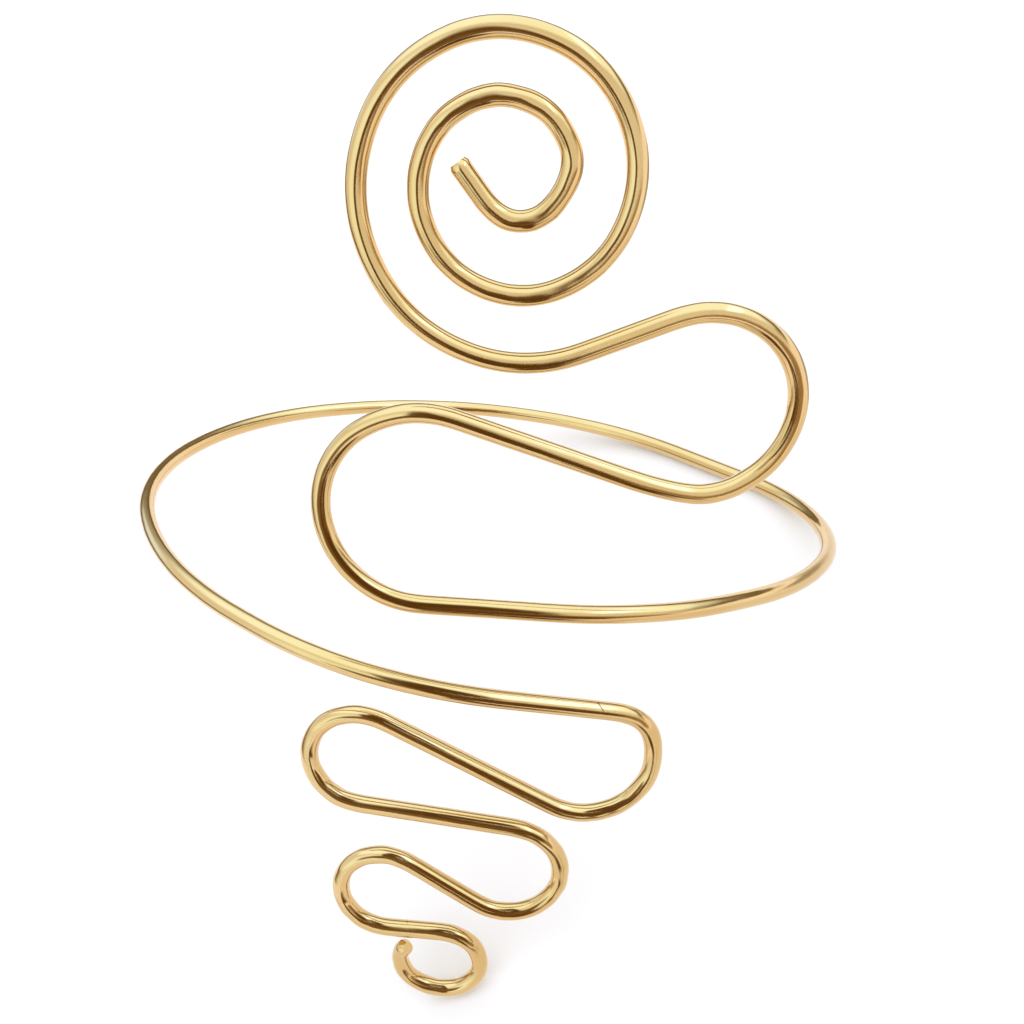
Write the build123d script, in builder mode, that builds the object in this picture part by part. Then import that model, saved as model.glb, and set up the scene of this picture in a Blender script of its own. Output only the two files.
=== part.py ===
"""Upper-arm cuff bent from one length of round, gold-coloured wire.

The wire starts at a cut tip inside a scroll, swings right and left below it, goes once round
the arm as an open ring and ends in a narrowing zigzag with a small curl. It is laid out as it
is worn, with X across the front, Y from the front to the back, Z up, and zero at the front of
the ring. Then it is set down as it rests by itself: it leans back on the straight run at the
back of its ring and on the curl. The front still faces -Y, and zero is on the floor, below
the middle of the whole.
"""

import os
from collections import namedtuple
from itertools import pairwise
from math import asin, atan2, ceil, cos, dist, hypot, pi, radians, sin, tan

from build123d import *

os.makedirs("parts", exist_ok=True)

# Sizes in millimetres along the middle of the wire, and angles in degrees
wire_diameter = 2.0
tip_bevel = 0.2
curl_tip_narrowing = 0.35
curl_taper_length = 0.7
front_curve_radius = 131.0

scroll_across = -3.5
scroll_height = 41.9
scroll_narrowing = 0.97
scroll_inner_radius = 5.45
scroll_pitch = 5.8
scroll_sink = 0.45
scroll_first_angle = 20.0
scroll_last_angle = 640.0
scroll_eye_across = 0.87
scroll_eye_up = 0.35
scroll_eye_radius = 3.55
scroll_tail_length = 5.6
scroll_tail_slope = -47.5

upper_reach = 18.0
upper_height = 23.0
upper_bend_radius = 9.0

ring_width = 87.0
ring_depth = 72.5
ring_drop = 8.2

lower_reach = 13.5
lower_depth = 46.0
lower_bend_radius = 6.0
curl_end_slope = 88.0
curl_tail_length = 0.9
curl_tip_length = 1.5

# A bend is cut into turns no larger than this, and an arc takes this share of a run
largest_turn = 45.0
arc_share = 0.49
# Points along the wire that tell where it meets the floor
floor_samples = 4000

Bend = namedtuple("Bend", "across up radius turn")

# Bends seen from the front, as shares of the reach, the height and the bend radius of their
# zone, in the order of the wire. A turn is 1 to the left and -1 to the right
upper_bends = [
    Bend(across=0.94, up=1.03, radius=1.00, turn=-1),
    Bend(across=0.83, up=0.96, radius=0.80, turn=-1),
    Bend(across=-0.49, up=0.465, radius=1.02, turn=1),
    Bend(across=-0.50, up=0.41, radius=1.13, turn=1),
]
lower_bends = [
    Bend(across=0.97, up=-0.34, radius=0.85, turn=-1),
    Bend(across=0.82, up=-0.368, radius=1.215, turn=-1),
    Bend(across=-0.98, up=-0.457, radius=0.985, turn=1),
    Bend(across=0.32, up=-0.718, radius=0.995, turn=-1),
    Bend(across=-0.69, up=-0.836, radius=0.88, turn=1),
    Bend(across=-0.13, up=-1.03, radius=0.725, turn=-1),
    Bend(across=-0.20, up=-1.03, radius=0.70, turn=-1),
]
# Bends of the ring seen from above, on a plan of its own that is stretched to its sizes
ring_front_left = Bend(across=-0.125, up=0.81, radius=0.814, turn=1)
ring_right = Bend(across=0.115, up=0.44, radius=0.337, turn=1)
ring_back = Bend(across=-0.08, up=0.473, radius=0.457, turn=1)
ring_front_right = Bend(across=0.197, up=0.985, radius=1.088, turn=1)
ring_bends = [ring_front_left, ring_right, ring_back, ring_front_right]
ring_start = Bend(across=-0.03, up=0.0, radius=0.0, turn=1)
ring_end = Bend(across=0.045, up=0.0, radius=0.0, turn=1)


def sized(bends, reach, height, bend_radius):
    """The bends of a zone in millimetres."""
    return [
        Bend(bend.across * reach, bend.up * height, bend.radius * bend_radius, bend.turn)
        for bend in bends
    ]


def heading(start, end):
    """Direction of the straight run from one bend to the next, in radians."""
    across, up = end.across - start.across, end.up - start.up
    shift = (end.turn * end.radius - start.turn * start.radius) / hypot(across, up)
    # Of two nested bends, the next one starts where they lie closest
    return atan2(up, across) - asin(max(-1.0, min(shift, 1.0)))


def on_bend(bend, way, stretch=1.0):
    """The point of a bend where the wire heads this way, or one further out."""
    reach = bend.turn * bend.radius * stretch
    return bend.across + reach * sin(way), bend.up - reach * cos(way)


def bend_corners(bends, first_way, last_way):
    """Corners round each bend in turn, for a wire that is led round all of them."""
    ways = [first_way, *[heading(*pair) for pair in pairwise(bends)], last_way]
    corners = []
    for bend, arrive, leave in zip(bends, ways, ways[1:]):
        sweep_angle = (bend.turn * (leave - arrive)) % (2 * pi)
        count = ceil(sweep_angle / radians(largest_turn))
        for step in range(count):
            way = arrive + bend.turn * sweep_angle * (step + 0.5) / count
            corners.append(on_bend(bend, way, 1 / cos(sweep_angle / count / 2)))
    return corners


def scroll_corners():
    """Straight tail, tight eye and growing turns of the scroll, from the tip outwards."""
    slope = radians(scroll_tail_slope)
    first_angle, last_angle = radians(scroll_first_angle), radians(scroll_last_angle)
    count = ceil((last_angle - first_angle) / radians(largest_turn))
    turn_step = (last_angle - first_angle) / count
    turns = []
    for step in range(count + 1):
        angle = first_angle + step * turn_step
        turns_out = angle / (2 * pi)
        radius = (scroll_inner_radius + scroll_pitch * turns_out) / cos(turn_step / 2)
        across = scroll_across + scroll_narrowing * radius * cos(angle)
        up = scroll_height + scroll_sink * (1 - turns_out) + radius * sin(angle)
        turns.append((across, up))
    eye = Bend(
        scroll_across + scroll_eye_across, scroll_height + scroll_eye_up, scroll_eye_radius, 1
    )
    eye_corners = bend_corners([eye], slope, first_angle + pi / 2 - turn_step / 2)
    across, up = eye_corners[0]
    tip = across - scroll_tail_length * cos(slope), up - scroll_tail_length * sin(slope)
    return [tip, *eye_corners, *turns]


def on_front(across, up, forward=0.0):
    """A flat point laid on the front, which follows the arm with a gentle curve."""
    angle = across / front_curve_radius
    return Vector(
        front_curve_radius * sin(angle), front_curve_radius * (1 - cos(angle)) - forward, up
    )


def ring_corners():
    """Corners of the ring, which drops evenly on its way round the arm."""
    plan_width = ring_right.across + ring_right.radius - ring_back.across + ring_back.radius
    plan_depth = ring_back.up + ring_back.radius
    first_way = heading(ring_start, ring_bends[0])
    last_way = heading(ring_bends[-1], ring_end)
    flat = [
        (across * ring_width / plan_width, back * ring_depth / plan_depth)
        for across, back in bend_corners(ring_bends, first_way, last_way)
    ]
    lengths = [dist(*pair) for pair in pairwise([(0.0, 0.0), *flat, (0.0, 0.0)])]
    passed = [sum(lengths[: number + 1]) / sum(lengths) for number in range(len(flat))]
    return [
        Vector(across, back, -ring_drop * share) for (across, back), share in zip(flat, passed)
    ]


def curl_end_corners(curl, way):
    """Short tail and hooked tip that follow the last bend, just under the run above it."""
    across, up = on_bend(curl, way)
    tail = across + curl_tail_length * cos(way), up + curl_tail_length * sin(way)
    side = curl_tip_length / 3**0.5
    return [on_front(*tail), on_front(tail[0] + side, tail[1] + side, forward=side)]


def fillet_radii(corners):
    """The largest radius that the two runs at each corner leave room for."""
    radii = []
    for before, corner, after in zip(corners, corners[1:], corners[2:]):
        turn = (corner - before).get_angle(after - corner)
        room = arc_share * min((corner - before).length, (after - corner).length)
        radii.append(room / tan(radians(turn) / 2))
    return radii


def resting_plane(wire_path):
    """The floor that the wire rests on by itself, with zero below the middle of the wire."""
    runs = wire_path.edges().filter_by(GeomType.LINE)
    back_runs = runs.filter_by(lambda run: run.center().Y > ring_depth / 2)
    run = back_runs.sort_by(SortBy.LENGTH)[-1]
    along = run % 0
    level = Vector(0, 0, 1).cross(along).normalized()
    rise = along.cross(level)
    # The floor holds that run and the one other point that keeps the whole wire above it
    points = [wire_path @ (number / floor_samples) for number in range(floor_samples + 1)]
    offsets = [point - run @ 0 for point in points]
    slopes = [
        atan2(offset.dot(rise), offset.dot(level))
        for offset in offsets
        if offset.dot(level) > wire_diameter
    ]
    up = rise * cos(min(slopes)) - level * sin(min(slopes))
    turned = Plane(origin=(0, 0, 0), x_dir=Vector(0, 1, 0).cross(up), z_dir=up)
    local = [turned.to_local_coords(point) for point in points]
    middle = [
        (min(values) + max(values)) / 2 for values in zip(*[(point.X, point.Y) for point in local])
    ]
    lowest = min(point.Z for point in local) - wire_diameter / 2
    return Plane(
        origin=turned.from_local_coords(Vector(*middle, lowest)), x_dir=turned.x_dir, z_dir=up
    )


upper = sized(upper_bends, upper_reach, upper_height, upper_bend_radius)
lower = sized(lower_bends, lower_reach, lower_depth, lower_bend_radius)
scroll = scroll_corners()
into_upper = heading(Bend(*scroll[-1], 0.0, 1), upper[0])
into_ring = heading(upper[-1], Bend(0.0, 0.0, 0.0, 1))
out_of_ring = heading(Bend(0.0, -ring_drop, 0.0, 1), lower[0])
out_of_curl = radians(curl_end_slope)

worn = [
    *[on_front(*corner) for corner in scroll],
    *[on_front(*corner) for corner in bend_corners(upper, into_upper, into_ring)],
    *ring_corners(),
    *[on_front(*corner) for corner in bend_corners(lower, out_of_ring, out_of_curl)],
    *curl_end_corners(lower[-1], out_of_curl),
]
with BuildLine() as worn_route:
    FilletPolyline(*worn, radius=fillet_radii(worn))

floor = resting_plane(worn_route.wires()[0])
rested = [floor.to_local_coords(corner) for corner in worn]

with BuildPart() as cuff_wire:
    with BuildLine() as route:
        FilletPolyline(*rested, radius=fillet_radii(rested))
    with BuildSketch(Plane(origin=route.line @ 0, z_dir=route.line % 0)):
        Circle(wire_diameter / 2)
    sweep(path=route.line)
    curl_tip, scroll_tip = cuff_wire.faces().filter_by(GeomType.PLANE).sort_by(Axis.Z)
    chamfer(scroll_tip.edges(), tip_bevel)
    chamfer(curl_tip.edges(), curl_tip_narrowing, curl_taper_length, reference=curl_tip)

cuff_wire.part.label = "cuff_wire"
export_step(cuff_wire.part, "parts/cuff_wire.step")

route_length = route.wires()[0].length
print("corners", len(rested), "smallest radius", round(min(fillet_radii(rested)), 2))
print("length", round(route_length, 1), "volume by length", pi * wire_diameter**2 / 4 * route_length)
print("volume", cuff_wire.part.volume, "box", cuff_wire.part.bounding_box())
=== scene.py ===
"""Looks of an upper-arm cuff, bent from one length of round, gold-coloured wire.

The wire's line is laid out as the cuff is worn, bend by bend, in millimetres: X across the
front, Y from the front to the back, Z up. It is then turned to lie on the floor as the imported
model does. Geometry Nodes draw the wire along it, with the small unevenness of bending by hand,
a bevelled cut at the scroll's tip and a tapered one at the curl's.
"""

from collections import namedtuple
from itertools import pairwise
from math import asin, atan2, ceil, cos, dist, hypot, pi, radians, sin, tan

import bpy
from mathutils import Matrix, Vector


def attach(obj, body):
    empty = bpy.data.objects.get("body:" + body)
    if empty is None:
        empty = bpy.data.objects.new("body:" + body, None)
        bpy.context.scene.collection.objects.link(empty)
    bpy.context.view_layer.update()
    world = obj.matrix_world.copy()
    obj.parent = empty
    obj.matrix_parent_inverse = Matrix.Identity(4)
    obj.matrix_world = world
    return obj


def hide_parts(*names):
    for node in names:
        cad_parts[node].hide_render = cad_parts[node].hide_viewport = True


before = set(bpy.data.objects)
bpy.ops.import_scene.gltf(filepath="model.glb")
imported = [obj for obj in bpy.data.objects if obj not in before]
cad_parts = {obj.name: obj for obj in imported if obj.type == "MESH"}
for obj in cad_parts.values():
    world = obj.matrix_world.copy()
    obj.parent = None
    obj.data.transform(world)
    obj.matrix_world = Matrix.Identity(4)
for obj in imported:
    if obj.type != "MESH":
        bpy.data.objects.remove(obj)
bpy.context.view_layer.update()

MM = 0.001

# Sizes of the wire's line in millimetres, and angles in degrees
wire_diameter = 2.0
tip_bevel = 0.2
curl_tip_narrowing = 0.35
curl_taper_length = 0.7
front_curve_radius = 131.0

scroll_across = -3.5
scroll_height = 41.9
scroll_narrowing = 0.97
scroll_inner_radius = 5.45
scroll_pitch = 5.8
scroll_sink = 0.45
scroll_first_angle = 20.0
scroll_last_angle = 640.0
scroll_eye_across = 0.87
scroll_eye_up = 0.35
scroll_eye_radius = 3.55
scroll_tail_length = 5.6
scroll_tail_slope = -47.5

upper_reach = 18.0
upper_height = 23.0
upper_bend_radius = 9.0

ring_width = 87.0
ring_depth = 72.5
ring_drop = 8.2

lower_reach = 13.5
lower_depth = 46.0
lower_bend_radius = 6.0
curl_end_slope = 88.0
curl_tail_length = 0.9
curl_tip_length = 1.5

# A bend is cut into turns no larger than this, and an arc takes this share of a run
largest_turn = 45.0
arc_share = 0.49
# The arc at each turn is drawn in steps of about this many degrees
arc_step = 3.0

Bend = namedtuple("Bend", "across up radius turn")

# Bends seen from the front, as shares of the reach, the height and the bend radius of their
# zone, in the order of the wire. A turn is 1 to the left and -1 to the right
upper_bends = [
    Bend(across=0.94, up=1.03, radius=1.00, turn=-1),
    Bend(across=0.83, up=0.96, radius=0.80, turn=-1),
    Bend(across=-0.49, up=0.465, radius=1.02, turn=1),
    Bend(across=-0.50, up=0.41, radius=1.13, turn=1),
]
lower_bends = [
    Bend(across=0.97, up=-0.34, radius=0.85, turn=-1),
    Bend(across=0.82, up=-0.368, radius=1.215, turn=-1),
    Bend(across=-0.98, up=-0.457, radius=0.985, turn=1),
    Bend(across=0.32, up=-0.718, radius=0.995, turn=-1),
    Bend(across=-0.69, up=-0.836, radius=0.88, turn=1),
    Bend(across=-0.13, up=-1.03, radius=0.725, turn=-1),
    Bend(across=-0.20, up=-1.03, radius=0.70, turn=-1),
]
# Bends of the ring seen from above, on a plan of its own that is stretched to its sizes
ring_front_left = Bend(across=-0.125, up=0.81, radius=0.814, turn=1)
ring_right = Bend(across=0.115, up=0.44, radius=0.337, turn=1)
ring_back = Bend(across=-0.08, up=0.473, radius=0.457, turn=1)
ring_front_right = Bend(across=0.197, up=0.985, radius=1.088, turn=1)
ring_bends = [ring_front_left, ring_right, ring_back, ring_front_right]
ring_start = Bend(across=-0.03, up=0.0, radius=0.0, turn=1)
ring_end = Bend(across=0.045, up=0.0, radius=0.0, turn=1)


def sized(bends, reach, height, bend_radius):
    """The bends of a zone in millimetres."""
    return [
        Bend(bend.across * reach, bend.up * height, bend.radius * bend_radius, bend.turn)
        for bend in bends
    ]


def heading(start, end):
    """Direction of the straight run from one bend to the next, in radians."""
    across, up = end.across - start.across, end.up - start.up
    shift = (end.turn * end.radius - start.turn * start.radius) / hypot(across, up)
    # Of two nested bends, the next one starts where they lie closest
    return atan2(up, across) - asin(max(-1.0, min(shift, 1.0)))


def on_bend(bend, way, stretch=1.0):
    """The point of a bend where the wire heads this way, or one further out."""
    reach = bend.turn * bend.radius * stretch
    return bend.across + reach * sin(way), bend.up - reach * cos(way)


def bend_corners(bends, first_way, last_way):
    """Corners round each bend in turn, for a wire that is led round all of them."""
    ways = [first_way, *[heading(*pair) for pair in pairwise(bends)], last_way]
    corners = []
    for bend, arrive, leave in zip(bends, ways, ways[1:]):
        sweep_angle = (bend.turn * (leave - arrive)) % (2 * pi)
        count = ceil(sweep_angle / radians(largest_turn))
        for step in range(count):
            way = arrive + bend.turn * sweep_angle * (step + 0.5) / count
            corners.append(on_bend(bend, way, 1 / cos(sweep_angle / count / 2)))
    return corners


def scroll_corners():
    """Straight tail, tight eye and growing turns of the scroll, from the tip outwards."""
    slope = radians(scroll_tail_slope)
    first_angle, last_angle = radians(scroll_first_angle), radians(scroll_last_angle)
    count = ceil((last_angle - first_angle) / radians(largest_turn))
    turn_step = (last_angle - first_angle) / count
    turns = []
    for step in range(count + 1):
        angle = first_angle + step * turn_step
        turns_out = angle / (2 * pi)
        radius = (scroll_inner_radius + scroll_pitch * turns_out) / cos(turn_step / 2)
        across = scroll_across + scroll_narrowing * radius * cos(angle)
        up = scroll_height + scroll_sink * (1 - turns_out) + radius * sin(angle)
        turns.append((across, up))
    eye = Bend(
        scroll_across + scroll_eye_across, scroll_height + scroll_eye_up, scroll_eye_radius, 1
    )
    eye_corners = bend_corners([eye], slope, first_angle + pi / 2 - turn_step / 2)
    across, up = eye_corners[0]
    tip = across - scroll_tail_length * cos(slope), up - scroll_tail_length * sin(slope)
    return [tip, *eye_corners, *turns]


def on_front(across, up, forward=0.0):
    """A flat point laid on the front, which follows the arm with a gentle curve."""
    angle = across / front_curve_radius
    return Vector(
        (front_curve_radius * sin(angle), front_curve_radius * (1 - cos(angle)) - forward, up)
    )


def ring_corners():
    """Corners of the ring, which drops evenly on its way round the arm."""
    plan_width = ring_right.across + ring_right.radius - ring_back.across + ring_back.radius
    plan_depth = ring_back.up + ring_back.radius
    first_way = heading(ring_start, ring_bends[0])
    last_way = heading(ring_bends[-1], ring_end)
    flat = [
        (across * ring_width / plan_width, back * ring_depth / plan_depth)
        for across, back in bend_corners(ring_bends, first_way, last_way)
    ]
    lengths = [dist(*pair) for pair in pairwise([(0.0, 0.0), *flat, (0.0, 0.0)])]
    passed = [sum(lengths[: number + 1]) / sum(lengths) for number in range(len(flat))]
    return [
        Vector((across, back, -ring_drop * share)) for (across, back), share in zip(flat, passed)
    ]


def curl_end_corners(curl, way):
    """Short tail and hooked tip that follow the last bend, just under the run above it."""
    across, up = on_bend(curl, way)
    tail = across + curl_tail_length * cos(way), up + curl_tail_length * sin(way)
    side = curl_tip_length / 3**0.5
    return [on_front(*tail), on_front(tail[0] + side, tail[1] + side, forward=side)]


def worn_corners():
    """Corners of the whole line as the cuff is worn, from the scroll's tip to the curl's."""
    upper = sized(upper_bends, upper_reach, upper_height, upper_bend_radius)
    lower = sized(lower_bends, lower_reach, lower_depth, lower_bend_radius)
    scroll = scroll_corners()
    into_upper = heading(Bend(*scroll[-1], 0.0, 1), upper[0])
    into_ring = heading(upper[-1], Bend(0.0, 0.0, 0.0, 1))
    out_of_ring = heading(Bend(0.0, -ring_drop, 0.0, 1), lower[0])
    out_of_curl = radians(curl_end_slope)
    return [
        *[on_front(*corner) for corner in scroll],
        *[on_front(*corner) for corner in bend_corners(upper, into_upper, into_ring)],
        *ring_corners(),
        *[on_front(*corner) for corner in bend_corners(lower, out_of_ring, out_of_curl)],
        *curl_end_corners(lower[-1], out_of_curl),
    ]


def arc_at(before, corner, after):
    """Points of the arc that rounds a corner, as large as its two runs leave room for."""
    arrive, leave = (corner - before).normalized(), (after - corner).normalized()
    turn = arrive.angle(leave)
    room = arc_share * min((corner - before).length, (after - corner).length)
    radius = room / tan(turn / 2)
    inward = (leave - arrive).normalized()
    centre = corner + inward * (radius / cos(turn / 2))
    count = max(2, ceil(turn / radians(arc_step)))
    points = []
    for step in range(count + 1):
        angle = turn * (step / count - 0.5)
        along = (arrive + leave).normalized()
        points.append(centre + (along * sin(angle) - inward * cos(angle)) * radius)
    return points


def resting_place(arcs):
    """The move from the worn cuff to the one that rests on the floor, still in millimetres."""
    runs = [(first[-1], second[0]) for first, second in pairwise(arcs)]
    back_runs = [run for run in runs if (run[0].y + run[1].y) / 2 > ring_depth / 2]
    start, end = max(back_runs, key=lambda run: (run[1] - run[0]).length)
    along = (end - start).normalized()
    level = Vector((0, 0, 1)).cross(along).normalized()
    rise = along.cross(level)
    # The floor holds that run and the one other point that keeps the whole wire above it
    points = [point for arc in arcs for point in arc]
    slope = min(
        atan2((point - start).dot(rise), (point - start).dot(level))
        for point in points
        if (point - start).dot(level) > wire_diameter
    )
    up = rise * cos(slope) - level * sin(slope)
    right = Vector((0, 1, 0)).cross(up).normalized()
    turn = Matrix((right, up.cross(right), up)).to_4x4()
    turned = [turn @ point for point in points]
    middle_x, middle_y = [
        (min(point[axis] for point in turned) + max(point[axis] for point in turned)) / 2
        for axis in (0, 1)
    ]
    lowest = min(point.z for point in turned) - wire_diameter / 2
    return Matrix.Translation((-middle_x, -middle_y, -lowest)) @ turn


def wire_line():
    """The wire's line at rest on the floor as a polyline curve, in metres."""
    corners = worn_corners()
    arcs = [arc_at(*three) for three in zip(corners, corners[1:], corners[2:])]
    arcs = [[corners[0]], *arcs, [corners[-1]]]
    lay_down = Matrix.Scale(MM, 4) @ resting_place(arcs)
    points = [lay_down @ point for arc in arcs for point in arc]
    curve = bpy.data.curves.new("wire_line", "CURVE")
    curve.dimensions = "3D"
    spline = curve.splines.new("POLY")
    spline.points.add(len(points) - 1)
    for knot, point in zip(spline.points, points):
        knot.co = (*point, 1.0)
    line = bpy.data.objects.new("wire_line", curve)
    bpy.context.scene.collection.objects.link(line)
    return line


def add_node(tree, kind, settings=(), inputs=()):
    """Adds a node. Settings come first, then the values or links of its sockets."""
    node = tree.nodes.new(kind)
    for name, value in dict(settings).items():
        setattr(node, name, value)
    for name, value in dict(inputs).items():
        socket = node.inputs[name]
        if isinstance(value, Value):
            value = value.socket
        if isinstance(value, bpy.types.NodeSocket):
            tree.links.new(value, socket)
        else:
            socket.default_value = value
    return node


class Value:
    """A number that varies over the piece, so that expressions on it add Math nodes."""

    def __init__(self, socket):
        self.socket = socket

    def maths(self, operation, *others, clamp=False):
        """This value and the others through one Math node."""
        inputs = dict(enumerate((self, *others)))
        settings = {"operation": operation, "use_clamp": clamp}
        node = add_node(self.socket.id_data, "ShaderNodeMath", settings, inputs)
        return Value(node.outputs[0])

    def reflected(self, operation, first):
        """A plain number and this value through one Math node, the number first."""
        inputs = {0: first, 1: self}
        node = add_node(self.socket.id_data, "ShaderNodeMath", {"operation": operation}, inputs)
        return Value(node.outputs[0])

    def __add__(self, other):
        return self.maths("ADD", other)

    __radd__ = __add__

    def __sub__(self, other):
        return self.maths("SUBTRACT", other)

    def __rsub__(self, first):
        return self.reflected("SUBTRACT", first)

    def __mul__(self, other):
        return self.maths("MULTIPLY", other)

    __rmul__ = __mul__

    def __truediv__(self, other):
        return self.maths("DIVIDE", other)

    def __rtruediv__(self, first):
        return self.reflected("DIVIDE", first)

    def clamped(self):
        """This value held between 0 and 1."""
        return self.maths("ADD", 0.0, clamp=True)

    def smallest(self, other):
        """The smaller of this value and another."""
        return self.maths("MINIMUM", other)

    def faded(self, start, end):
        """0 at the start value and 1 at the end value, with a smooth step between."""
        settings = {"interpolation_type": "SMOOTHSTEP"}
        inputs = {"Value": self, "From Min": start, "From Max": end}
        node = add_node(self.socket.id_data, "ShaderNodeMapRange", settings, inputs)
        return Value(node.outputs["Result"])


def noise(tree, place, scale, detail, roughness=0.5):
    """The outputs of a cloudy pattern with this many ups and downs in a metre."""
    settings = {"noise_dimensions": "3D"}
    inputs = {"Vector": place, "Scale": scale, "Detail": detail, "Roughness": roughness}
    return add_node(tree, "ShaderNodeTexNoise", settings, inputs).outputs


def vector_maths(tree, operation, *vectors, **inputs):
    """The outputs of one Vector Math node."""
    inputs = {**dict(enumerate(vectors)), **inputs}
    return add_node(tree, "ShaderNodeVectorMath", {"operation": operation}, inputs).outputs


# The value that a noise pattern gives on average
noise_middle = 0.5

# How the wire is drawn along its line, in millimetres
wire_step = 0.36
wobble = 0.05
wobble_length = 9.0
dent_depth = 0.12
dent_length = 1.6
# The line stays exact up to the first distance from a cut, and is free from the second on
kept_tip_length = 0.6
free_line_start = 3.0
# How far full softening would move the line where a bend is open, and where it is tight
open_bend_shift = 0.12
tight_bend_shift = 0.3
# Sides round the wire, rounds of softening, shares of the thickness and of the dents' depth
wire_sides = 48
bend_softening = 9
full_softening = 40
thickness_change = 0.006
dents_off_bends = 0.15
# Edges sharper than this, in degrees, are shaded as edges
sharp_edge = 30.0

# The inputs of the node tree that draws the wire, and their kinds
wire_inputs = {
    "Line": "Geometry",
    "Wire Radius": "Float",
    "Step": "Float",
    "Sides": "Int",
    "Tip Bevel": "Float",
    "Curl Tip Narrowing": "Float",
    "Curl Taper Length": "Float",
    "Kept Tip Length": "Float",
    "Free Line Start": "Float",
    "Softening": "Int",
    "Full Softening": "Int",
    "Open Bend Shift": "Float",
    "Tight Bend Shift": "Float",
    "Wobble": "Float",
    "Wobble Length": "Float",
    "Thickness Change": "Float",
    "Dent Depth": "Float",
    "Dent Length": "Float",
    "Dents Off Bends": "Float",
    "Finish": "Material",
}


def averaged(tree, place, rounds, weight=1.0):
    """A place on the line averaged with its neighbours', this many times over."""
    settings = {"data_type": "FLOAT_VECTOR"}
    inputs = {"Value": place, "Iterations": rounds, "Weight": weight}
    return add_node(tree, "GeometryNodeBlurAttribute", settings, inputs).outputs["Value"]


def moved(tree, geometry, **inputs):
    """The geometry with its points at another position, or moved by an offset."""
    inputs = {"Geometry": geometry, **inputs}
    return add_node(tree, "GeometryNodeSetPosition", (), inputs).outputs["Geometry"]


def wire_nodes():
    """The node tree that draws a round wire along a curve."""
    tree = bpy.data.node_groups.new("drawn_wire", "GeometryNodeTree")
    for name, kind in wire_inputs.items():
        tree.interface.new_socket(name, in_out="INPUT", socket_type=f"NodeSocket{kind}")
    tree.interface.new_socket("Wire", in_out="OUTPUT", socket_type="NodeSocketGeometry")
    group = tree.nodes.new("NodeGroupInput").outputs

    line = add_node(
        tree,
        "GeometryNodeResampleCurve",
        {"mode": "LENGTH"},
        {"Curve": group["Line"], "Length": group["Step"]},
    ).outputs["Curve"]
    # Distances to the two cuts, for their bevels and to keep the tips as they are
    to_scroll_tip = Value(add_node(tree, "GeometryNodeSplineParameter").outputs["Length"])
    whole = Value(add_node(tree, "GeometryNodeSplineLength").outputs["Length"])
    to_curl_tip = whole - to_scroll_tip
    to_tip = to_scroll_tip.smallest(to_curl_tip)
    inner = to_tip.faded(group["Kept Tip Length"], group["Free Line Start"])
    place = add_node(tree, "GeometryNodeInputPosition").outputs["Position"]
    line = moved(tree, line, Position=averaged(tree, place, group["Softening"], inner))
    waves = noise(tree, place, 1.0 / Value(group["Wobble Length"]), detail=1.0)
    centred = vector_maths(tree, "SUBTRACT", waves["Color"], (noise_middle,) * 3)["Vector"]
    reach = Value(group["Wobble"]) * inner
    line = moved(tree, line, Offset=vector_maths(tree, "SCALE", centred, Scale=reach)["Vector"])
    # Where the wire is bent tightly, its line lies far from the same line drawn softly
    softest = averaged(tree, place, group["Full Softening"])
    shift = Value(vector_maths(tree, "DISTANCE", place, softest)["Value"])
    tight = shift.faded(group["Open Bend Shift"], group["Tight Bend Shift"])
    line = add_node(
        tree,
        "GeometryNodeStoreNamedAttribute",
        {"data_type": "FLOAT", "domain": "POINT"},
        {"Geometry": line, "Name": "bend", "Value": tight * inner},
    ).outputs["Geometry"]

    bevel, narrowing = Value(group["Tip Bevel"]), Value(group["Curl Tip Narrowing"])
    at_scroll_tip = 1.0 - (to_scroll_tip / bevel).clamped()
    at_curl_tip = 1.0 - (to_curl_tip / Value(group["Curl Taper Length"])).clamped()
    radius = Value(group["Wire Radius"]) - bevel * at_scroll_tip - narrowing * at_curl_tip
    thickness = 1.0 + Value(group["Thickness Change"]) * (Value(waves["Fac"]) - noise_middle)
    circle = add_node(
        tree,
        "GeometryNodeCurvePrimitiveCircle",
        {"mode": "RADIUS"},
        {"Resolution": group["Sides"], "Radius": 1.0},
    ).outputs["Curve"]
    tube = add_node(
        tree,
        "GeometryNodeCurveToMesh",
        (),
        {"Curve": line, "Profile Curve": circle, "Scale": radius * thickness, "Fill Caps": True},
    ).outputs["Mesh"]

    # Pliers leave shallow dents where they bend the wire, and hardly any on its runs
    dents = noise(tree, place, 1.0 / Value(group["Dent Length"]), detail=0.0)
    depth = (Value(dents["Fac"]) - noise_middle) * Value(group["Dent Depth"])
    bend = add_node(
        tree, "GeometryNodeInputNamedAttribute", {"data_type": "FLOAT"}, {"Name": "bend"}
    ).outputs["Attribute"]
    off_bends = Value(group["Dents Off Bends"])
    depth = depth * (off_bends + (1.0 - off_bends) * Value(bend))
    outwards = add_node(tree, "GeometryNodeInputNormal").outputs["Normal"]
    dented = moved(tree, tube, Offset=vector_maths(tree, "SCALE", outwards, Scale=depth)["Vector"])
    smooth = add_node(tree, "GeometryNodeSetShadeSmooth", (), {"Geometry": dented})
    real = add_node(
        tree, "GeometryNodeRealizeInstances", (), {"Geometry": smooth.outputs["Geometry"]}
    )
    finished = add_node(
        tree,
        "GeometryNodeSetMaterial",
        (),
        {"Geometry": real.outputs["Geometry"], "Material": group["Finish"]},
    )
    output = tree.nodes.new("NodeGroupOutput")
    tree.links.new(finished.outputs["Geometry"], output.inputs["Wire"])
    return tree


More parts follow.
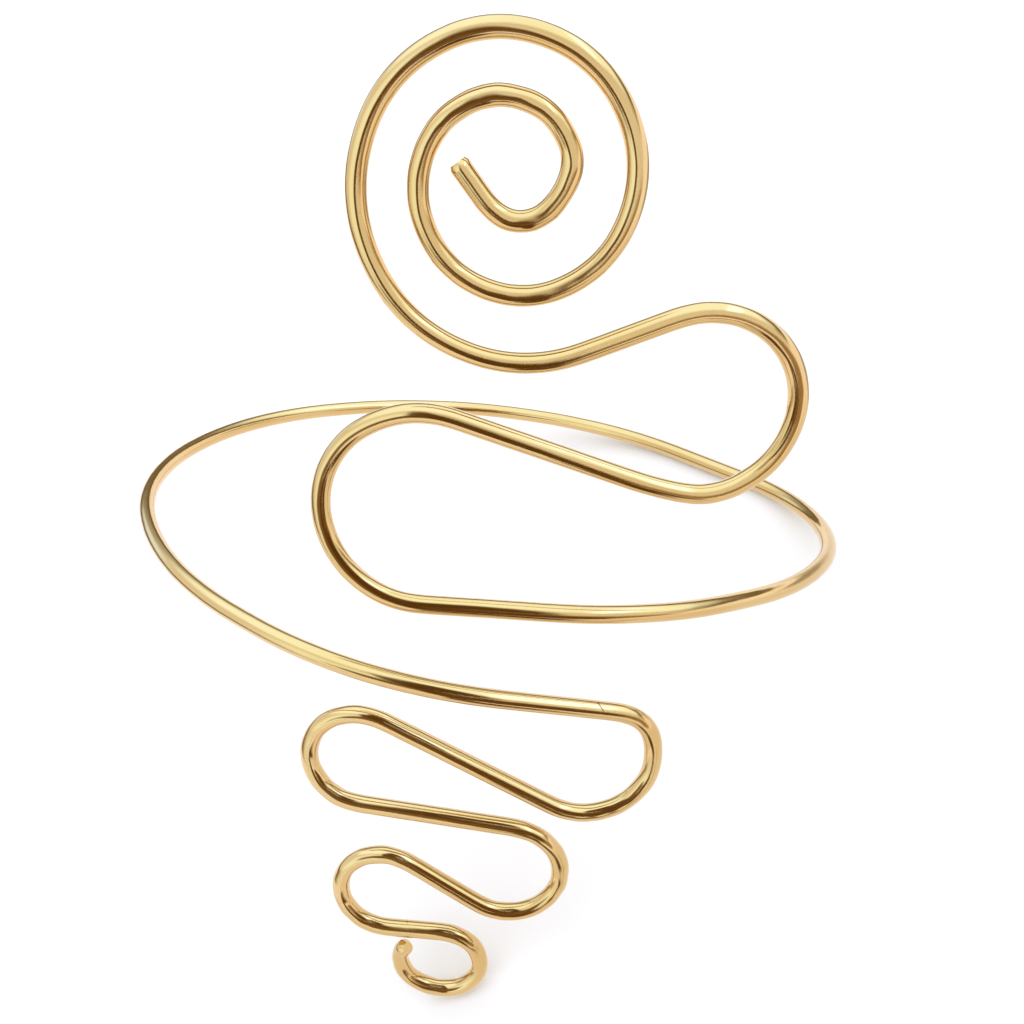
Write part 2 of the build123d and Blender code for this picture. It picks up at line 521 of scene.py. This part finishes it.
def set_inputs(modifier, values):
    """Sets a node modifier's inputs, which it knows by identifier and not by name."""
    for item in modifier.node_group.interface.items_tree:
        if item.item_type == "SOCKET" and item.in_out == "INPUT" and item.name in values:
            modifier[item.identifier] = values[item.name]


def drawn_wire(line, finish):
    """The wire as a plain mesh, drawn along its line."""
    modifier = line.modifiers.new("drawn_wire", "NODES")
    modifier.node_group = wire_nodes()
    sizes = {
        "Wire Radius": wire_diameter / 2,
        "Step": wire_step,
        "Tip Bevel": tip_bevel,
        "Curl Tip Narrowing": curl_tip_narrowing,
        "Curl Taper Length": curl_taper_length,
        "Kept Tip Length": kept_tip_length,
        "Free Line Start": free_line_start,
        "Open Bend Shift": open_bend_shift,
        "Tight Bend Shift": tight_bend_shift,
        "Wobble": wobble,
        "Wobble Length": wobble_length,
        "Dent Depth": dent_depth,
        "Dent Length": dent_length,
    }
    others = {
        "Sides": wire_sides,
        "Softening": bend_softening,
        "Full Softening": full_softening,
        "Thickness Change": thickness_change,
        "Dents Off Bends": dents_off_bends,
        "Finish": finish,
    }
    set_inputs(modifier, {name: size * MM for name, size in sizes.items()} | others)
    depsgraph = bpy.context.evaluated_depsgraph_get()
    mesh = bpy.data.meshes.new_from_object(line.evaluated_get(depsgraph))
    line.modifiers.remove(modifier)
    bpy.data.objects.remove(line)
    mesh.name = "gold_wire"
    mesh.set_sharp_from_angle(angle=radians(sharp_edge))
    wire = bpy.data.objects.new("gold_wire", mesh)
    bpy.context.scene.collection.objects.link(wire)
    return wire


# Two fine marks in the wire at rest on the floor, a scratch and a fainter tick, in millimetres.
# Each has its middle, the way across it, half its width and how far it reaches from its middle
Mark = namedtuple("Mark", "middle across half_width reach")
scratch = Mark(Vector((9.2, -30.0, 28.1)), Vector((0.95, 0.3, 0.0)), half_width=0.06, reach=0.7)
tick = Mark(Vector((-23.1, -37.7, 10.6)), Vector((0.95, 0.3, 0.0)), half_width=0.05, reach=0.5)
tick_strength = 0.5
# The shares of its half width and of its reach over which a mark fades out
mark_side_fade = 0.5
mark_end_fade = 0.3

# The two tones of the gold, and the brown of its marks
deep_gold = (0.75, 0.485, 0.19, 1.0)
pale_gold = (0.79, 0.535, 0.235, 1.0)
mark_brown = (0.3, 0.17, 0.05, 1.0)
# Scale, detail and roughness of each pattern, and the values of it that count as none and full
tone_pattern, tone_values = (60.0, 2.0, 0.5), (0.35, 0.65)
smear_pattern, smear_values = (350.0, 3.0, 0.6), (0.4, 0.7)
soft_dent_pattern = (220.0, 1.5, 0.5)
# The soft dents' depth is in millimetres
soft_dent_depth = 0.03
soft_dent_strength = 0.4
gold_roughness = 0.1
smear_roughness = 0.05
coat_weight = 0.8
coat_roughness = 0.08


def new_material(name):
    """A material with no nodes yet."""
    material = bpy.data.materials.new(name)
    material.use_nodes = True
    material.node_tree.nodes.clear()
    return material


def mixed_colour(tree, share, first, second):
    """The first colour with this share of the second."""
    inputs = {"Factor": share, "A": first, "B": second}
    return add_node(tree, "ShaderNodeMix", {"data_type": "RGBA"}, inputs).outputs["Result"]


def on_mark(tree, place, mark):
    """1 on a thin straight mark in the surface and 0 off it."""
    offset = vector_maths(tree, "SUBTRACT", place, mark.middle * MM)["Vector"]
    sideways = Value(vector_maths(tree, "DOT_PRODUCT", offset, mark.across.normalized())["Value"])
    from_middle = Value(vector_maths(tree, "LENGTH", offset)["Value"])
    half_width, reach = mark.half_width * MM, mark.reach * MM
    side_fade = sideways.maths("ABSOLUTE").faded(
        half_width * (1 - mark_side_fade), half_width * (1 + mark_side_fade)
    )
    end_fade = from_middle.faded(reach * (1 - mark_end_fade), reach)
    return (1.0 - side_fade) * (1.0 - end_fade)


def polished_gold():
    """Polished gold colour with a slight change of tone, smears, soft dents and two marks."""
    material = new_material("polished_gold")
    tree = material.node_tree
    place = add_node(tree, "ShaderNodeTexCoord").outputs["Object"]
    tone = Value(noise(tree, place, *tone_pattern)["Fac"]).faded(*tone_values)
    gold = mixed_colour(tree, tone, deep_gold, pale_gold)
    smears = Value(noise(tree, place, *smear_pattern)["Fac"]).faded(*smear_values)
    bump = add_node(
        tree,
        "ShaderNodeBump",
        (),
        {
            "Strength": soft_dent_strength,
            "Distance": soft_dent_depth * MM,
            "Height": noise(tree, place, *soft_dent_pattern)["Fac"],
        },
    )
    marks = on_mark(tree, place, scratch) + tick_strength * on_mark(tree, place, tick)
    shader = add_node(
        tree,
        "ShaderNodeBsdfPrincipled",
        (),
        {
            "Base Color": mixed_colour(tree, marks, gold, mark_brown),
            "Metallic": 1.0,
            "Roughness": gold_roughness + smear_roughness * smears,
            "Normal": bump.outputs["Normal"],
            "Coat Weight": coat_weight,
            "Coat Roughness": coat_roughness,
        },
    )
    output = add_node(tree, "ShaderNodeOutputMaterial")
    tree.links.new(shader.outputs["BSDF"], output.inputs["Surface"])
    return material


# The camera's place in millimetres, and its own right and backward directions
camera_place = Vector((34.47, -96.12, 131.21))
camera_right = Vector((0.9093, -0.1294, -0.3955)).normalized()
camera_back = Vector((0.2149, -0.6680, 0.7125)).normalized()
camera_back = (camera_back - camera_right * camera_back.dot(camera_right)).normalized()
camera_up = camera_back.cross(camera_right)
# The focal length in widths of the picture, and the sensor's width in millimetres
focal_length = 1180.0 / 1024.0
sensor_width = 36.0
# From here on, lengths are in metres
nearest_seen = 0.005
farthest_seen = 20.0
camera_distance = 0.15
cuff_middle = Vector((0.0, 0.0, 0.04))
picture_middle = camera_place * MM - camera_back * camera_distance


def turned_to(right, up, back):
    """The turn that gives an object these directions for its own X, Y and Z."""
    return Matrix((right, up, back)).transposed().to_4x4()


def add_camera():
    """The camera at the photograph's angle."""
    data = bpy.data.cameras.new("camera")
    data.sensor_width = sensor_width
    data.lens = sensor_width * focal_length
    data.clip_start = nearest_seen
    data.clip_end = farthest_seen
    camera = bpy.data.objects.new("camera", data)
    turn = turned_to(camera_right, camera_up, camera_back)
    camera.matrix_world = Matrix.Translation(camera_place * MM) @ turn
    bpy.context.scene.collection.objects.link(camera)
    bpy.context.scene.camera = camera


def facing_cuff(off, clock, distance):
    """Where something stands round the cuff and faces its middle.

    It is seen this many degrees off the camera's direction, towards a clock angle in its picture.
    """
    sideways = camera_right * cos(radians(clock)) + camera_up * sin(radians(clock))
    towards = camera_back * cos(radians(off)) + sideways * sin(radians(off))
    side = (camera_right - towards * camera_right.dot(towards)).normalized()
    turn = turned_to(side, towards.cross(side), towards)
    return Matrix.Translation(cuff_middle + towards * distance) @ turn


def beside_camera(right, up, distance, turn=0.0):
    """Where something stands this far in front of the cuff and off the camera's line.

    It faces the same way as the camera's picture, and is turned in it by this many degrees.
    """
    place = picture_middle + camera_right * right + camera_up * up + camera_back * distance
    facing = turned_to(camera_right, camera_up, camera_back)
    return Matrix.Translation(place) @ facing @ Matrix.Rotation(radians(turn), 4, "Z")


def on_floor(across, back, height, turn=0.0):
    """Where something lies just above the floor, turned this many degrees."""
    place = Matrix.Translation((across, back, height))
    return place @ Matrix.Rotation(radians(turn), 4, "Z")


def add_lamp(name, place, width, height, colour, brightness):
    """A large lamp. It lights the floor, and no reflection shows it."""
    data = bpy.data.lights.new(name, "AREA")
    data.color = colour
    data.shape = "RECTANGLE"
    data.size, data.size_y = width, height
    data.energy = brightness * pi * width * height
    light = bpy.data.objects.new(name, data)
    light.matrix_world = place
    light.visible_camera = False
    light.visible_glossy = False
    bpy.context.scene.collection.objects.link(light)


def flat_sheet(name, width, height):
    """The mesh of a flat rectangle round zero."""
    mesh = bpy.data.meshes.new(name)
    corners = [(-0.5, -0.5), (0.5, -0.5), (0.5, 0.5), (-0.5, 0.5)]
    mesh.from_pydata([(x * width, y * height, 0.0) for x, y in corners], [], [(0, 1, 2, 3)])
    return mesh


def add_screen(name, mesh, place, glow, edge_fade):
    """A screen that only reflections show, in one colour and faded at its edges."""
    screen = bpy.data.objects.new(name, mesh)
    screen.matrix_world = place
    screen.visible_camera = False
    screen.visible_diffuse = False
    screen.visible_shadow = False
    screen.visible_transmission = False
    bpy.context.scene.collection.objects.link(screen)
    material = new_material(name)
    tree = material.node_tree
    spot = add_node(tree, "ShaderNodeTexCoord").outputs["Object"]
    axes = add_node(tree, "ShaderNodeSeparateXYZ", (), {0: spot}).outputs
    fade = edge_fade(*[Value(axis) for axis in axes])
    plain = add_node(tree, "ShaderNodeEmission", (), {"Color": (*glow, 1.0)})
    clear = add_node(tree, "ShaderNodeBsdfTransparent")
    mixed = add_node(
        tree,
        "ShaderNodeMixShader",
        (),
        {0: fade, 1: plain.outputs["Emission"], 2: clear.outputs["BSDF"]},
    )
    output = add_node(tree, "ShaderNodeOutputMaterial")
    tree.links.new(mixed.outputs["Shader"], output.inputs["Surface"])
    mesh.materials.append(material)


def add_oval(name, place, width, height, glow, solid_share):
    """An oval screen, solid over this share of the way to its rim and faded from there."""

    def edge_fade(x, y, z):
        across, up = x * (2.0 / width), y * (2.0 / height)
        return (across * across + up * up).maths("SQRT").faded(solid_share, 1.0)

    add_screen(name, flat_sheet(name, width, height), place, glow, edge_fade)


# Sides of each band that stands round the cuff
band_sides = 64


def add_band(name, reach, height, glow, solid_share, clear_forwards):
    """A band that stands round the cuff, for darker outlines.

    It fades upwards, and forwards between two places: -1 is at the back and 1 at the front.
    """
    mesh = bpy.data.meshes.new(name)
    angles = [2 * pi * number / band_sides for number in range(band_sides)]
    nexts = [(number + 1) % band_sides for number in range(band_sides)]
    mesh.from_pydata(
        [(reach * cos(angle), reach * sin(angle), z) for z in (0.0, height) for angle in angles],
        [],
        [(n, after, band_sides + after, band_sides + n) for n, after in enumerate(nexts)],
    )

    def edge_fade(x, y, z):
        upwards = (z / height).faded(solid_share, 1.0)
        forwards = (y / -reach).faded(*clear_forwards)
        return 1.0 - (1.0 - upwards) * (1.0 - forwards)

    add_screen(name, mesh, Matrix.Identity(4), glow, edge_fade)


def add_floor(width, colour, roughness, gloss):
    """A plain pale floor."""
    mesh = flat_sheet("floor", width, width)
    floor = bpy.data.objects.new("floor", mesh)
    bpy.context.scene.collection.objects.link(floor)
    material = bpy.data.materials.new("floor")
    material.use_nodes = True
    shader = material.node_tree.nodes["Principled BSDF"]
    shader.inputs["Base Color"].default_value = (*colour, 1.0)
    shader.inputs["Roughness"].default_value = roughness
    shader.inputs["Specular IOR Level"].default_value = gloss
    mesh.materials.append(material)


def add_world(colour):
    """Pale surroundings."""
    world = bpy.data.worlds.new("studio")
    world.use_nodes = True
    background = world.node_tree.nodes["Background"]
    background.inputs["Color"].default_value = (*colour, 1.0)
    background.inputs["Strength"].default_value = 1.0
    bpy.context.scene.world = world


wire = drawn_wire(wire_line(), polished_gold())
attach(wire, "root")
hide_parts("cuff_wire")

add_camera()
add_floor(width=8.0, colour=(0.89, 0.9, 0.92), roughness=0.9, gloss=0.2)
add_world((0.91, 0.96, 0.95))
add_lamp(
    "overhead",
    facing_cuff(off=50, clock=90, distance=1.0),
    width=2.4,
    height=2.0,
    colour=(1.0, 0.84, 0.92),
    brightness=0.7,
)

# Bright screens give the wire its wide pale highlight and a narrow one on its right
add_oval(
    "window",
    facing_cuff(off=62, clock=84, distance=1.0),
    width=5.6,
    height=2.9,
    glow=(1.27, 1.6, 1.8),
    solid_share=0.35,
)
add_oval(
    "fill_left",
    facing_cuff(off=45, clock=-150, distance=0.9),
    width=1.7,
    height=1.5,
    glow=(1.15, 1.4, 1.46),
    solid_share=0.2,
)
add_oval(
    "left_light",
    facing_cuff(off=112, clock=150, distance=1.0),
    width=0.9,
    height=0.7,
    glow=(0.95, 1.2, 1.5),
    solid_share=0.3,
)
add_oval(
    "strip",
    facing_cuff(off=54, clock=51, distance=0.8),
    width=0.22,
    height=1.3,
    glow=(1.6, 2.2, 3.2),
    solid_share=0.4,
)

# Dark and brown screens beside the camera give the wire its dark middle line. They stand so
# near that the line moves across the wire from one run to the next
deep_shade = (0.12, 0.062, 0.012)
warm_shade = (0.15, 0.08, 0.02)
add_oval(
    "camera",
    beside_camera(-0.013, -0.135, 0.14, turn=8),
    width=0.068,
    height=0.4,
    glow=warm_shade,
    solid_share=0.65,
)
add_oval(
    "low_right",
    beside_camera(0.11, -0.1, 0.15),
    width=0.34,
    height=0.15,
    glow=(0.4, 0.29, 0.16),
    solid_share=0.3,
)
add_oval(
    "arm",
    beside_camera(-0.045, -0.077, 0.12, turn=11),
    width=0.22,
    height=0.1,
    glow=(0.22, 0.13, 0.05),
    solid_share=0.35,
)
add_oval(
    "lens",
    beside_camera(-0.004, -0.02, 0.06),
    width=0.04,
    height=0.068,
    glow=deep_shade,
    solid_share=0.55,
)
add_oval(
    "grip",
    beside_camera(0.016, -0.046, 0.06),
    width=0.05,
    height=0.05,
    glow=warm_shade,
    solid_share=0.55,
)

# Screens on the floor show in the lower sides of the wire, the dark ones above the pale one
pale_height = 0.2 * MM
shade_height = 0.5 * MM
add_oval(
    "near_floor",
    on_floor(0.0, -0.07, pale_height),
    width=0.26,
    height=0.26,
    glow=(0.95, 0.94, 0.9),
    solid_share=0.5,
)
add_oval(
    "right_shade",
    on_floor(0.1, 0.03, shade_height),
    width=0.12,
    height=0.12,
    glow=(0.45, 0.44, 0.36),
    solid_share=0.4,
)
add_oval(
    "front_shade",
    on_floor(-0.032, -0.155, shade_height, turn=-18),
    width=0.06,
    height=0.21,
    glow=deep_shade,
    solid_share=0.6,
)
add_oval(
    "near_shade",
    on_floor(0.014, -0.067, shade_height, turn=48),
    width=0.011,
    height=0.055,
    glow=(0.4, 0.36, 0.25),
    solid_share=0.3,
)

# Olive and brown bands round the cuff draw its outlines
add_band(
    "horizon",
    reach=1.6,
    height=1.45,
    glow=(0.44, 0.46, 0.42),
    solid_share=0.3,
    clear_forwards=(-0.9, -0.3),
)
add_band(
    "skirting",
    reach=0.8,
    height=0.3,
    glow=(0.2, 0.16, 0.08),
    solid_share=0.25,
    clear_forwards=(0.0, 0.7),
)
bpy.context.scene.view_settings.view_transform = "Standard"
